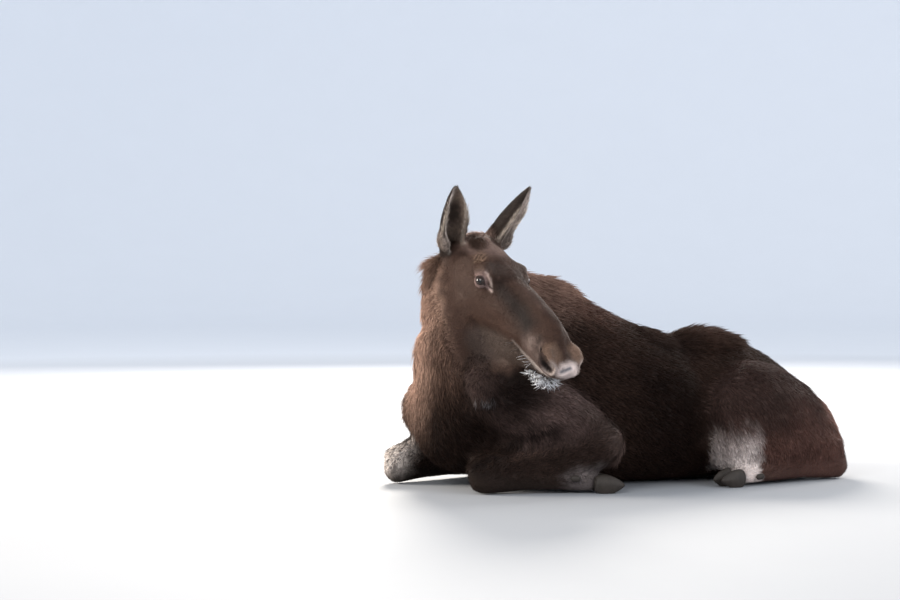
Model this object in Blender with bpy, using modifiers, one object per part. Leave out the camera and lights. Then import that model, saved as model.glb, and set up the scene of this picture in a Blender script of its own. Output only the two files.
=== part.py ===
"""A moose cow lying with her legs folded under her and her head turned over her left shoulder.

The animal faces -X, her left side is -Y, +Z is up and the floor is at Z = 0. Lengths are in metres.
She is modelled whole, as one skin over lofted and rounded forms, and is then parted into her named
pieces with thin cuts that follow those same forms.
"""

import math

import bmesh
import bpy
import numpy as np
from mathutils import Matrix, Vector

# Driving dimensions
HEAD_LENGTH = 0.665
HEAD_SIZE = HEAD_LENGTH / 0.64   # the head is written at a length of 0.64
WITHERS_HEIGHT = 0.745
EAR_LENGTH = 0.262
EAR_WALL = 0.012
EYE_RADIUS = 0.021
DEWCLAW_SPREAD = 0.035
CUT = 0.0003          # gap left by each parting cut
REACH = 0.007         # how far a parting form reaches past the flesh it parts off
VOXEL = 0.010
FILLET = 0.016        # rounding where forms meet
SHARP_ANGLE = math.radians(50)
BODY_FACES = 1750     # triangles of the whole skin before it is parted

# How the head is carried: turned from straight ahead to her left, nose down
HEAD_YAW = math.radians(99)
HEAD_PITCH = math.radians(24)
HEAD_ROLL = math.radians(-1)
HEAD_BASE = Vector((-0.599, 0.030, 0.752))   # back of the skull, on the head's own axis

UP = (0, 0, 1)
LEFT, RIGHT = -1, 1   # the side's sign on Y

# Colour and roughness by the first word of a node's name that is listed
FINISHES = {
    "eye": ((0.012, 0.009, 0.008), 0.08),
    "ear": ((0.075, 0.060, 0.050), 0.85),
    "toe": ((0.020, 0.017, 0.015), 0.45),
    "dewclaw": ((0.020, 0.017, 0.015), 0.50),
    "cannon": ((0.150, 0.130, 0.112), 0.85),
    "head": ((0.050, 0.036, 0.028), 0.80),
    "lower": ((0.050, 0.036, 0.028), 0.80),
    "neck": ((0.060, 0.038, 0.022), 0.85),
}
DARK_COAT = ((0.020, 0.013, 0.009), 0.85)


def clear_scene():
    for obj in list(bpy.data.objects):
        bpy.data.objects.remove(obj, do_unlink=True)


def head_frame():
    """The head's own axes: X to the nose, Y to her left, Z to the crown."""
    ahead = Vector((-math.cos(HEAD_YAW), -math.sin(HEAD_YAW), 0))
    left = Vector(UP).cross(ahead)
    nose = ahead * math.cos(HEAD_PITCH) - Vector(UP) * math.sin(HEAD_PITCH)
    crown = nose.cross(left)
    side = left * math.cos(HEAD_ROLL) + crown * math.sin(HEAD_ROLL)
    frame = Matrix((nose, side, nose.cross(side))).transposed().to_4x4()
    frame = frame @ Matrix.Scale(HEAD_SIZE, 4)
    frame.translation = HEAD_BASE
    return frame


def spline(rows, count):
    """Rows of numbers made denser by a Catmull-Rom curve, evenly along their first three numbers."""
    rows = np.array(rows, float)
    padded = np.vstack([2 * rows[0] - rows[1], rows, 2 * rows[-1] - rows[-2]])
    steps = np.linalg.norm(np.diff(rows[:, :3], axis=0), axis=1)
    places = np.concatenate([[0], np.cumsum(steps)])
    out = []
    for place in np.linspace(0, places[-1], count):
        i = min(np.searchsorted(places, place, side="right") - 1, len(rows) - 2)
        t = (place - places[i]) / steps[i]
        a, b, c, d = padded[i:i + 4]
        out.append(0.5 * (2 * b + (c - a) * t + (2 * a - 5 * b + 4 * c - d) * t ** 2
                          + (3 * b - a - 3 * c + d) * t ** 3))
    return np.array(out)


def new_object(name, bm):
    bmesh.ops.recalc_face_normals(bm, faces=bm.faces)
    bmesh.ops.triangulate(bm, faces=bm.faces)
    mesh = bpy.data.meshes.new(name)
    bm.to_mesh(mesh)
    bm.free()
    obj = bpy.data.objects.new(name, mesh)
    bpy.context.scene.collection.objects.link(obj)
    return obj


def loft(name, rows, sides, frame=None, square=2.0):
    """A closed form through rings, each (x, y, z, wide, up, down, dorsal x, y, z, egg).

    wide, up and down are half sizes. A positive egg narrows the dorsal side of the ring."""
    bm = bmesh.new()
    rings = []
    ahead = np.gradient(rows[:, :3], axis=0)
    for row, way in zip(rows, ahead):
        centre, wide, up, down, egg = row[:3], row[3], row[4], row[5], row[9]
        lateral = np.cross(row[6:9], way)
        lateral /= np.linalg.norm(lateral)
        dorsal = np.cross(way, lateral)
        dorsal /= np.linalg.norm(dorsal)
        ring = []
        for k in range(sides):
            turn = 2 * math.pi * k / sides
            c, s = math.cos(turn), math.sin(turn)
            c = math.copysign(abs(c) ** (2 / square), c)
            s = math.copysign(abs(s) ** (2 / square), s)
            across = wide * c * (1 - egg * max(s, 0))
            along = (up if s > 0 else down) * s
            ring.append(bm.verts.new(centre + lateral * across + dorsal * along))
        rings.append(ring)
    bm.faces.new(reversed(rings[0]))
    bm.faces.new(rings[-1])
    for one, two in zip(rings, rings[1:]):
        for k in range(sides):
            near = (k + 1) % sides
            bm.faces.new((one[k], one[near], two[near], two[k]))
    if frame is not None:
        bm.transform(frame)
    return new_object(name, bm)


def sweep(name, stations, sides=24, rings=24, frame=None, square=2.0):
    """A loft through a smooth curve of the stations."""
    return loft(name, spline(stations, rings), sides, frame, square)


def limb(name, points, radii, flat=1.0, sides=8, rings=4, dorsal=(0.05, 0.03, 1.0)):
    """A tapering form through points with round ends. flat below 1 makes it thinner up and down."""
    body = spline([(*p, r) for p, r in zip(points, radii)], rings)
    start, end = body[0, :3] - body[1, :3], body[-1, :3] - body[-2, :3]
    start, end = start / np.linalg.norm(start), end / np.linalg.norm(end)
    caps = [math.radians(angle) for angle in (75, 38)]
    head = [(*(body[0, :3] + start * body[0, 3] * math.sin(a)), body[0, 3] * math.cos(a)) for a in caps]
    tail = [(*(body[-1, :3] + end * body[-1, 3] * math.sin(a)), body[-1, 3] * math.cos(a))
            for a in reversed(caps)]
    rows = [(*row[:3], row[3], row[3] * flat, row[3] * flat, *dorsal, 0)
            for row in (*head, *body, *tail)]
    return loft(name, np.array(rows), sides)


def ellipsoid(name, centre, radii, segments=20, rings=12, frame=None, turn=None):
    matrix = Matrix.Translation(centre) @ (turn or Matrix.Identity(4)) @ Matrix.Diagonal((*radii, 1))
    bm = bmesh.new()
    bmesh.ops.create_uvsphere(bm, u_segments=segments, v_segments=rings, radius=1.0,
                              matrix=frame @ matrix if frame is not None else matrix)
    return new_object(name, bm)


def hull(name, corners, frame=None):
    bm = bmesh.new()
    for corner in corners:
        bm.verts.new(corner)
    bmesh.ops.convex_hull(bm, input=bm.verts)
    if frame is not None:
        bm.transform(frame)
    return new_object(name, bm)


def join(name, objects):
    """One object of copies of the meshes."""
    bm = bmesh.new()
    for obj in objects:
        bm.from_mesh(obj.data)
    return new_object(name, bm)


def baked(obj):
    """The object with its modifiers turned into plain mesh."""
    graph = bpy.context.evaluated_depsgraph_get()
    mesh = bpy.data.meshes.new_from_object(obj.evaluated_get(graph))
    obj.modifiers.clear()
    obj.data = mesh
    return obj


def remesh(obj, voxel):
    modifier = obj.modifiers.new("remesh", "REMESH")
    modifier.mode = "VOXEL"
    modifier.voxel_size = voxel
    modifier.use_smooth_shade = True
    return baked(obj)


def grow(obj, distance):
    modifier = obj.modifiers.new("grow", "DISPLACE")
    modifier.strength = distance
    modifier.mid_level = 0
    return baked(obj)


def smooth(obj, factor, repeat):
    modifier = obj.modifiers.new("smooth", "SMOOTH")
    modifier.factor = factor
    modifier.iterations = repeat
    return baked(obj)


def boolean(obj, cutter, operation):
    modifier = obj.modifiers.new("cut", "BOOLEAN")
    modifier.operation = operation
    modifier.object = cutter
    return baked(obj)


def triangles(obj):
    return sum(len(face.vertices) - 2 for face in obj.data.polygons)


def decimate(obj, faces):
    modifier = obj.modifiers.new("decimate", "DECIMATE")
    modifier.use_collapse_triangulate = True
    modifier.ratio = faces / triangles(obj)
    return baked(obj)


def trunk_forms():
    # x, top, bottom, half width, narrowing of the back
    sections = {
        "breast tip": (-0.765, 0.33, 0.12, 0.09, 0.0),
        "breast": (-0.71, 0.46, 0.04, 0.170, 0.1),
        "shoulders": (-0.60, 0.62, 0.0, 0.220, 0.3),
        "withers": (-0.43, WITHERS_HEIGHT, -0.01, 0.255, 0.45),
        "hump end": (-0.30, 0.680, -0.01, 0.275, 0.42),
        "ribs": (-0.09, 0.580, -0.01, 0.305, 0.25),
        "belly": (0.07, 0.512, -0.01, 0.315, 0.15),
        "loin": (0.165, 0.488, -0.01, 0.30, 0.15),
        "hips": (0.31, 0.522, -0.01, 0.27, 0.25),
        "croup": (0.50, 0.447, 0.0, 0.235, 0.25),
        "tail head": (0.65, 0.335, 0.01, 0.18, 0.1),
        "seat": (0.745, 0.22, 0.04, 0.12, 0.0),
    }
    rows = []
    for x, top, bottom, wide, narrow in sections.values():
        middle = bottom + 0.42 * (top - bottom)
        rows.append((x, 0, middle, wide, top - middle, middle - bottom, *UP, narrow))
    return [sweep("trunk", rows, sides=36, rings=40, square=2.3)]


def neck_form():
    rows = [
        # centre, half width, depth to the nape and to the throat, the nape's direction, egg
        (-0.36, 0.0, 0.42, 0.18, 0.25, 0.24, 0.10, 0.0, 1.0, 0.3),
        (-0.50, 0.0, 0.43, 0.18, 0.23, 0.23, 0.45, 0.05, 0.9, 0.2),
        (-0.600, 0.01, 0.50, 0.155, 0.185, 0.18, 0.75, 0.35, 0.6, 0.1),
        (-0.630, 0.035, 0.60, 0.128, 0.145, 0.14, 0.1, 1.0, 0.2, 0.0),
        (-0.622, 0.045, 0.69, 0.115, 0.120, 0.12, -0.2, 1.0, 0.0, 0.0),
        (-0.608, 0.035, 0.755, 0.094, 0.100, 0.10, -0.2, 1.0, 0.1, 0.0),
        (-0.602, 0.020, 0.805, 0.056, 0.060, 0.06, -0.2, 1.0, 0.1, 0.0),
    ]
    return sweep("neck", rows, sides=14, rings=9)


def upright(sections):
    """Loft stations of a form along X from (x, top, bottom, half width, egg) rows."""
    return [(x, 0, 0.5 * (top + bottom), wide, 0.5 * (top - bottom), 0.5 * (top - bottom), *UP, egg)
            for x, top, bottom, wide, egg in sections]


def face_form(frame):
    sections = {
        # along the head, top, bottom, half width, egg
        "occiput": (-0.01, 0.080, -0.08, 0.060, 0.0),
        "ears": (0.04, 0.132, -0.115, 0.080, 0.1),
        "temple": (0.10, 0.128, -0.130, 0.092, 0.1),
        "brow": (0.17, 0.112, -0.128, 0.096, 0.12),
        "eyes": (0.22, 0.094, -0.125, 0.090, 0.15),
        "below eyes": (0.28, 0.086, -0.120, 0.074, 0.15),
        "bridge": (0.35, 0.083, -0.112, 0.062, 0.18),
        "behind nostrils": (0.43, 0.072, -0.105, 0.060, 0.25),
        "nostrils": (0.51, 0.050, -0.102, 0.067, 0.38),
        "nose": (0.575, 0.010, -0.112, 0.069, 0.45),
        "lip": (0.620, -0.030, -0.112, 0.060, 0.4),
        "tip": (0.646, -0.060, -0.102, 0.042, 0.2),
    }
    return sweep("face", upright(sections.values()), sides=28, rings=32, frame=frame, square=2.25)


def jaw_form(frame):
    sections = {
        "angle": (0.035, -0.04, -0.180, 0.050, 0),
        "cheek": (0.09, -0.03, -0.218, 0.062, 0),
        "jaw": (0.18, -0.04, -0.218, 0.058, 0),
        "bars": (0.30, -0.06, -0.180, 0.048, 0),
        "before chin": (0.42, -0.07, -0.155, 0.042, 0),
        "chin": (0.52, -0.08, -0.145, 0.043, 0),
        "lower lip": (0.575, -0.09, -0.130, 0.035, 0),
    }
    return sweep("jaw", upright(sections.values()), sides=12, rings=8, frame=frame, square=2.3)


def bell_form():
    # Hangs from the throat and lies over the near shoulder
    rows = [
        (-0.622, -0.105, 0.455, 0.050, 0.042, 0.042, 0.5, 0.86, 0, 0),
        (-0.642, -0.165, 0.400, 0.050, 0.042, 0.042, 0.5, 0.86, 0, 0),
        (-0.676, -0.250, 0.355, 0.047, 0.034, 0.034, 0.5, 0.86, 0, 0),
        (-0.690, -0.286, 0.300, 0.038, 0.024, 0.024, 0.5, 0.86, 0, 0),
    ]
    return sweep("bell", rows, sides=8, rings=6)


def tail_form():
    rows = [
        (0.640, 0.0, 0.300, 0.040, 0.030, 0.030, 1, 0, 1, 0),
        (0.715, 0.0, 0.262, 0.034, 0.024, 0.024, 1, 0, 1, 0),
        (0.765, 0.0, 0.212, 0.028, 0.018, 0.018, 1, 0, 1, 0),
        (0.792, 0.0, 0.165, 0.016, 0.010, 0.010, 1, 0, 0.6, 0),
    ]
    return sweep("tail", rows, sides=8, rings=5)


def head_extras(frame):
    forms = []
    for y in (LEFT, RIGHT):
        forms.append(ellipsoid("cheek", (0.125, y * 0.055, -0.080), (0.095, 0.045, 0.092), frame=frame))
        forms.append(ellipsoid("brow", (0.198, y * 0.074, 0.062), (0.055, 0.034, 0.026), frame=frame))
        forms.append(ellipsoid("nostril", (0.580, y * 0.047, -0.044), (0.052, 0.030, 0.046), frame=frame))
        forms.append(ellipsoid("ear root", (0.022, y * 0.072, 0.054), (0.040, 0.030, 0.038), frame=frame))
    forms.append(ellipsoid("throat", (0.13, 0, -0.195), (0.13, 0.045, 0.055), frame=frame))
    return forms


# Joint centres: shoulder, elbow, top and bottom of the flexed knee, fetlock, hoof tip
FORELEG = {
    LEFT: ((-0.575, -0.190, 0.315), (-0.285, -0.325, 0.165), (-0.665, -0.205, 0.075), (-0.655, -0.215, 0.042),
           (-0.37, -0.315, 0.038), (-0.215, -0.370, 0.026)),
    RIGHT: ((-0.650, 0.165, 0.265), (-0.37, 0.315, 0.155), (-0.780, 0.205, 0.090), (-0.770, 0.212, 0.043),
            (-0.48, 0.300, 0.038), (-0.325, 0.345, 0.026)),
}
# Stifle, top and bottom of the flexed hock, fetlock, hoof tip, with Y outwards
HINDLEG = ((0.255, 0.310, 0.13), (0.680, 0.285, 0.108), (0.688, 0.298, 0.046), (0.31, 0.365, 0.038),
           (0.155, 0.385, 0.026))


def fore_forms(side):
    shoulder, elbow, knee, heel, fetlock, tip = [Vector(p) for p in FORELEG[side]]
    return {
        "cannon": limb("cannon", [heel, heel.lerp(fetlock, 0.3), heel.lerp(fetlock, 0.8), fetlock,
                                  fetlock.lerp(tip, 0.35)],
                       [0.049, 0.037, 0.034, 0.040, 0.034]),
        "forearm": limb("forearm", [elbow, elbow.lerp(knee, 0.35), elbow.lerp(knee, 0.75), knee],
                        [0.098, 0.088, 0.054, 0.047]),
        "upper": limb("arm", [shoulder, shoulder.lerp(elbow, 0.5), shoulder.lerp(elbow, 0.86)],
                      [0.120, 0.126, 0.106], flat=1.08),
    }


def hind_forms(side):
    stifle, hock, heel, fetlock, tip = [Vector((x, y * side, z)) for x, y, z in HINDLEG]
    haunch = {
        # x, y outwards and z of the middle, half width, up, down
        "stifle": (0.190, 0.325, 0.165, 0.070, 0.095, 0.10),
        "front": (0.250, 0.300, 0.185, 0.120, 0.150, 0.175),
        "thigh": (0.36, 0.245, 0.215, 0.155, 0.205, 0.20),
        "rump": (0.50, 0.205, 0.195, 0.155, 0.190, 0.185),
        "buttock": (0.63, 0.175, 0.150, 0.135, 0.145, 0.145),
        "seat": (0.735, 0.150, 0.110, 0.085, 0.085, 0.095),
    }
    rows = [(x, y * side, z, wide, up, down, *UP, 0.1) for x, y, z, wide, up, down in haunch.values()]
    return {
        "cannon": limb("hind cannon", [heel, heel.lerp(fetlock, 0.3), heel.lerp(fetlock, 0.8), fetlock,
                                       fetlock.lerp(tip, 0.35)],
                       [0.054, 0.039, 0.036, 0.042, 0.035]),
        "shank": limb("shank", [stifle, stifle.lerp(hock, 0.45), hock], [0.100, 0.095, 0.060]),
        "thigh": sweep("thigh", rows, sides=12, rings=7, square=2.2),
    }


def shank_block(side):
    """The space of the shank and hock, below a line from the stifle to the buttock."""
    return hull("shank block", [(x, y * side, z) for y in (0.17, 0.6)
                                for x, z in ((0.2, -0.1), (0.2, 0.19), (0.9, 0.115), (0.9, -0.1))])


# The ears in the head's own axes: root, way to the tip, way the cup opens
EARS = {
    "left": ((0.004, 0.083, 0.064), (0.25, 0.19, 0.95), (0.81, 0.49, -0.31)),
    "right": ((0.004, -0.079, 0.062), (0.22, -0.32, 0.92), (0.97, 0.02, -0.22)),
}
# Up the ear: share of its length, half width, depth of the cup, half angle of the arc, how far
# it bows towards its opening
EAR_SHAPE = {
    "root": (-0.10, 0.026, 0.026, 140, 0.0),
    "bulb": (0.08, 0.034, 0.047, 130, 0.006),
    "mouth": (0.24, 0.039, 0.048, 112, 0.012),
    "widest": (0.44, 0.042, 0.050, 104, 0.015),
    "upper": (0.66, 0.036, 0.041, 98, 0.014),
    "narrows": (0.85, 0.023, 0.026, 90, 0.008),
    "tip": (1.0, 0.007, 0.008, 75, 0.0),
}
EYES = {"left": (0.212, 0.082, 0.040), "right": (0.212, -0.082, 0.040)}


def ear(name, frame, root, way, opening):
    """A cupped leaf of skin, as an open arc swept up the ear and then thickened."""
    way, opening = Vector(way).normalized(), Vector(opening)
    opening = (opening - way * opening.dot(way)).normalized()
    across = way.cross(opening)
    steps = 6
    bm = bmesh.new()
    rows = []
    for share, wide, deep, angle, bow in spline(list(EAR_SHAPE.values()), 7):
        row = []
        for k in range(steps + 1):
            turn = math.radians(angle) * (2 * k / steps - 1)
            out = across * wide * math.sin(turn) + opening * (bow - deep * math.cos(turn))
            row.append(bm.verts.new(Vector(root) + way * share * EAR_LENGTH / HEAD_SIZE + out))
        rows.append(row)
    for one, two in zip(rows, rows[1:]):
        for k in range(steps):
            bm.faces.new((one[k], one[k + 1], two[k + 1], two[k]))
    bm.transform(frame)
    obj = new_object(name, bm)
    modifier = obj.modifiers.new("wall", "SOLIDIFY")
    modifier.thickness = EAR_WALL
    modifier.offset = 0
    modifier.use_even_offset = False
    return baked(obj)


def toe(name, fetlock, tip, side):
    """One of a foot's two toes: a pointed half hoof, side of the line from fetlock to tip."""
    way = (tip - fetlock).normalized()
    across = Vector((-way.y, way.x, 0)).normalized() * side
    rows = []
    for along, wide, high in ((0.40, 0.021, 0.034), (0.60, 0.0235, 0.0385), (0.80, 0.021, 0.033),
                              (0.95, 0.013, 0.022), (1.05, 0.004, 0.009)):
        centre = fetlock.lerp(tip, along) + across * (0.0255 - 0.25 * (0.0235 - wide))
        rows.append((*centre, wide, high, high, *UP, 0.25))
    return sweep(name, rows, sides=6, rings=4)


def dewclaw(name, centre, way):
    turn = way.to_track_quat("X", "Z").to_matrix().to_4x4()
    return ellipsoid(name, centre, (0.022, 0.011, 0.012), segments=6, rings=4, turn=turn)


def feet():
    """Toes and dewclaws, which sit higher on the forefeet, as these are folded over."""
    pieces = {}
    for side, word in ((LEFT, "left"), (RIGHT, "right")):
        fore = [Vector(p) for p in FORELEG[side][-2:]]
        hind = [Vector((x, y * side, z)) for x, y, z in HINDLEG[-2:]]
        for leg, (fetlock, tip), height in (("fore", fore, 0.014), ("hind", hind, -0.006)):
            way = (tip - fetlock).normalized()
            across = Vector((-way.y, way.x, 0)).normalized()
            outwards = 1 if across.y * side > 0 else -1
            for place, sign in (("outer", outwards), ("inner", -outwards)):
                name = f"{leg}_toe_{place}_{word}"
                pieces[name] = toe(name, fetlock, tip, sign)
                name = f"{leg}_dewclaw_{place}_{word}"
                centre = fetlock + way * 0.004 + across * sign * DEWCLAW_SPREAD + Vector((0, 0, height))
                pieces[name] = dewclaw(name, centre, way)
    return pieces


def whole_body(forms):
    whole = join("whole", forms)
    remesh(whole, VOXEL)
    grow(whole, FILLET)
    remesh(whole, VOXEL)
    grow(whole, -FILLET)
    remesh(whole, VOXEL)
    return smooth(whole, 0.5, 5)


def copy(obj, name):
    twin = obj.copy()
    twin.data = obj.data.copy()
    twin.name = name
    bpy.context.scene.collection.objects.link(twin)
    return twin


def largest(obj):
    """Leaves only the island with the most faces."""
    bm = bmesh.new()
    bm.from_mesh(obj.data)
    islands = []
    unseen = set(bm.faces)
    while unseen:
        stack = [unseen.pop()]
        island = list(stack)
        while stack:
            for edge in stack.pop().edges:
                fresh = [face for face in edge.link_faces if face in unseen]
                unseen.difference_update(fresh)
                stack.extend(fresh)
                island.extend(fresh)
        islands.append(island)
    islands.sort(key=len)
    for island in islands[:-1]:
        bmesh.ops.delete(bm, geom=island, context="FACES")
    bm.to_mesh(obj.data)
    bm.free()
    return obj


def part_off(whole, form, name):
    """Takes from the whole what lies within REACH of the form, as an object of its own."""
    form.name = "form"
    piece = copy(whole, name)
    grow(form, REACH)
    boolean(piece, form, "INTERSECT")
    grow(form, CUT)
    boolean(whole, form, "DIFFERENCE")
    bpy.data.objects.remove(form, do_unlink=True)
    return largest(piece)


def head_block(frame):
    """The space of the head and jaws, from a slanted plane between the poll and the throat."""
    corners = [(x, y, z) for y in (-0.125, 0.104)
               for x, z in ((-0.062, 0.18), (0.105, -0.235), (0.76, 0.12), (0.76, -0.165))]
    return hull("head block", corners, frame)


def neck_block():
    """The space of the neck, above a slanted plane from the breast to the front of the withers."""
    side_view = ((-0.90, 0.14), (-0.45, 0.63), (-0.42, 0.98), (-0.90, 0.98))
    return hull("neck block", [(x, y, z) for y in (-0.35, 0.35) for x, z in side_view])


def finish(name, obj):
    """Gives a node its own material and smooth shading that keeps its edges."""
    colour, roughness = next((FINISHES[word] for word in name.split("_") if word in FINISHES), DARK_COAT)
    material = bpy.data.materials.new(name)
    material.use_nodes = True
    shader = material.node_tree.nodes["Principled BSDF"]
    shader.inputs["Base Color"].default_value = (*colour, 1)
    shader.inputs["Roughness"].default_value = roughness
    shader.inputs["Metallic"].default_value = 0
    obj.data.materials.clear()
    obj.data.materials.append(material)
    obj.data.shade_smooth()
    obj.data.set_sharp_from_angle(angle=SHARP_ANGLE)


def main():
    clear_scene()
    frame = head_frame()
    # In the order in which they are parted off
    forms = {"lower_jaw": jaw_form(frame), "bell": bell_form(), "head": face_form(frame),
             "tail": tail_form()}
    for side, word in ((LEFT, "left"), (RIGHT, "right")):
        for part, form in fore_forms(side).items():
            forms[f"fore_{part}_{word}"] = form
        for part, form in hind_forms(side).items():
            forms[f"hind_{part}_{word}"] = form
    forms["neck"] = neck_form()
    extras = trunk_forms() + head_extras(frame)
    whole = whole_body([*forms.values(), *extras])
    blocks = {"head": head_block(frame), "neck": neck_block(), "hind_shank_left": shank_block(LEFT),
              "hind_shank_right": shank_block(RIGHT)}
    for form in (*extras, *(forms[name] for name in blocks)):
        bpy.data.objects.remove(form, do_unlink=True)
    forms.update(blocks)
    decimate(whole, BODY_FACES)

    floor = hull("floor", [(x, y, z) for x in (-2, 2) for y in (-2, 2) for z in (-1, 0)])
    boolean(whole, floor, "DIFFERENCE")
    pieces = {}
    for word, centre in EYES.items():
        pieces[f"eye_{word}"] = ellipsoid(f"eye_{word}", frame @ Vector(centre), [EYE_RADIUS] * 3, 10, 6)
        socket = ellipsoid("socket", frame @ Vector(centre), [EYE_RADIUS + CUT] * 3, 10, 6)
        boolean(whole, socket, "DIFFERENCE")
        bpy.data.objects.remove(socket, do_unlink=True)
    skin = grow(copy(whole, "skin"), 1.5 * CUT)
    outside = feet()
    for word, (root, way, opening) in EARS.items():
        outside[f"ear_{word}"] = ear(f"ear_{word}", frame, root, way, opening)
    for name, piece in outside.items():
        boolean(piece, skin, "DIFFERENCE")
        boolean(piece, floor, "DIFFERENCE")
        pieces[name] = largest(piece)
    bpy.data.objects.remove(skin, do_unlink=True)
    bpy.data.objects.remove(floor, do_unlink=True)

    for name, form in forms.items():
        pieces[name] = part_off(whole, form, name)
    pieces["trunk"] = largest(whole)
    whole.name = "trunk"

    group = bpy.data.collections.new("moose")
    bpy.context.scene.collection.children.link(group)
    corners = [vertex.co for piece in pieces.values() for vertex in piece.data.vertices]
    middle = [0.5 * (min(c[axis] for c in corners) + max(c[axis] for c in corners)) for axis in (0, 1)]
    for name, piece in pieces.items():
        piece.data.transform(Matrix.Translation((-middle[0], -middle[1], 0)))
        finish(name, piece)
        group.objects.link(piece)
        bpy.context.scene.collection.objects.unlink(piece)


main()
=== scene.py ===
import math

import bmesh
import bpy
import numpy as np
from mathutils import Matrix, Vector
from mathutils.bvhtree import BVHTree


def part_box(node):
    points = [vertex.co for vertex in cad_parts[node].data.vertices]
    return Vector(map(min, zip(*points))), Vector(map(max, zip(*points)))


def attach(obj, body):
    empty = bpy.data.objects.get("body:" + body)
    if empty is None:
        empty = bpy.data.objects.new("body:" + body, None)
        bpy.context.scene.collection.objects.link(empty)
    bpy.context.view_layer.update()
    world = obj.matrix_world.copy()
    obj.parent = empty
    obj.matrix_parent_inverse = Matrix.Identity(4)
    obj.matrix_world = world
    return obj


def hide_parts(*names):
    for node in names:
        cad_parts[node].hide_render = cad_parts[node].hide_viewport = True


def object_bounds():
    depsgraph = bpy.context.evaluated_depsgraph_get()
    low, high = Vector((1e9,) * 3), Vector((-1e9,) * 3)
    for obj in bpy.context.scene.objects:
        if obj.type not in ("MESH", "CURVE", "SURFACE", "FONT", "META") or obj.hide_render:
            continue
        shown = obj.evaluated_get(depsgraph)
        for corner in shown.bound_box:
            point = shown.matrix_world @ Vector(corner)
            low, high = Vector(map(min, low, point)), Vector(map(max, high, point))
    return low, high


# A moose cow lying with her legs folded under her, as a still model. One skin lies inside the
# solids by the depth of the coat, and tufts of hair lie over it. Metres, -X ahead, -Y her left.

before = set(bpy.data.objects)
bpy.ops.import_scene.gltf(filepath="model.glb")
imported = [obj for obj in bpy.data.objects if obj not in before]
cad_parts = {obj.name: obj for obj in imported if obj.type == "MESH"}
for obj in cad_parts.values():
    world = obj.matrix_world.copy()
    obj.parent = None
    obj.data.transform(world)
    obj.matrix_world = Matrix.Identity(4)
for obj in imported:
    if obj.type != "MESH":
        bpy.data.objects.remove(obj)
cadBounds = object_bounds()


# The head's own axes, found from the eyes: X to the nose, Y to her left, Z to the crown

headPose = {
    "yaw": 99, "pitch": 24, "roll": -1,     # degrees, from straight ahead
    "size": 1.039,                          # metres in one unit of the head's axes
    "eyesAhead": 0.212, "eyesUp": 0.04,
}


def boxMiddle(node):
    low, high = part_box(node)
    return 0.5 * (Vector(low) + Vector(high))


betweenEyes = 0.5 * (boxMiddle("eye_left") + boxMiddle("eye_right"))


def headAxes():
    yaw, pitch, roll = (math.radians(headPose[key]) for key in ("yaw", "pitch", "roll"))
    ahead = Vector((-math.cos(yaw), -math.sin(yaw), 0))
    left = Vector((0, 0, 1)).cross(ahead)
    nose = ahead * math.cos(pitch) - Vector((0, 0, math.sin(pitch)))
    crown = nose.cross(left)
    side = left * math.cos(roll) + crown * math.sin(roll)
    axes = Matrix((nose, side, nose.cross(side))).transposed().to_4x4() @ Matrix.Scale(headPose["size"], 4)
    axes.translation = betweenEyes - axes.to_3x3() @ Vector((headPose["eyesAhead"], 0, headPose["eyesUp"]))
    return axes


head = headAxes()
headInverse = np.array(head.inverted())


def toHead(points):
    return points @ headInverse[:3, :3].T + headInverse[:3, 3]


def headWay(way):
    return (head.to_3x3() @ Vector(way)).normalized()


# How the coat differs from node to node: length of a tuft, depth of the skin under the solid, how
# much its facets are smoothed, the way the hair points, with y outwards, and its colour. The way
# is in the head's axes for the nodes of headCoats, and in the body's for the others.

coats = {
    "trunk": (0.036, 0.011, 0.5, (1, 0, -0.55), (0.0265, 0.015, 0.0112)),
    "neck": (0.038, 0.011, 0.4, (0.3, 0, -1), (0.092, 0.055, 0.041)),
    "head": (0.009, 0.002, 0.14, (-1, 0, -0.15), (0.043, 0.0238, 0.0176)),
    "lower_jaw": (0.013, 0.003, 0.2, (-1, 0, -0.5), (0.048, 0.034, 0.028)),
    "bell": (0.024, 0.005, 0.15, (0, 0, -1), (0.062, 0.041, 0.036)),
    "tail": (0.035, 0.009, 0.3, (0.5, 0, -1), (0.042, 0.022, 0.017)),
    "ear": (0.012, 0.0022, 0.12, (0.24, 0, 0.94), (0.035, 0.026, 0.022)),
    "fore_upper": (0.032, 0.009, 0.45, (1, 0.1, -0.6), (0.088, 0.058, 0.052)),
    "fore_forearm": (0.024, 0.006, 0.35, (-1, -0.2, -0.35), (0.026, 0.016, 0.013)),
    "fore_cannon": (0.014, 0.003, 0.25, (1, 0.35, 0), (0.024, 0.016, 0.013)),
    "hind_thigh": (0.032, 0.009, 0.45, (0.6, 0, -1), (0.044, 0.026, 0.022)),
    "hind_shank": (0.026, 0.007, 0.4, (0.45, 0, -1), (0.085, 0.042, 0.033)),
    "hind_cannon": (0.014, 0.003, 0.25, (-1, 0.2, 0), (0.075, 0.042, 0.034)),
}
headCoats = ("head", "lower_jaw", "ear")
coatLength, coatDepth, coatSoft, coatLie, coatColour = range(5)
fleshNodes = [name for name in sorted(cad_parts) if name.startswith(tuple(coats))]


def coatColumn(column):
    # the table's column, with a row for each flesh node
    return np.array([next(row[column] for start, row in coats.items() if name.startswith(start))
                     for name in fleshNodes])


def readAll(items, key, width=1, kind=float):
    values = np.empty(len(items) * width, kind)
    items.foreach_get(key, values)
    return values.reshape(-1, width) if width > 1 else values


def meshPoints(mesh):
    return readAll(mesh.vertices, "co", 3)


def meshNormals(mesh):
    return readAll(mesh.vertices, "normal", 3)


def meshEdges(mesh):
    return readAll(mesh.edges, "vertices", 2, np.int64)


def setPoints(mesh, points):
    mesh.vertices.foreach_set("co", points.astype(np.float32).ravel())
    mesh.update()


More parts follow.
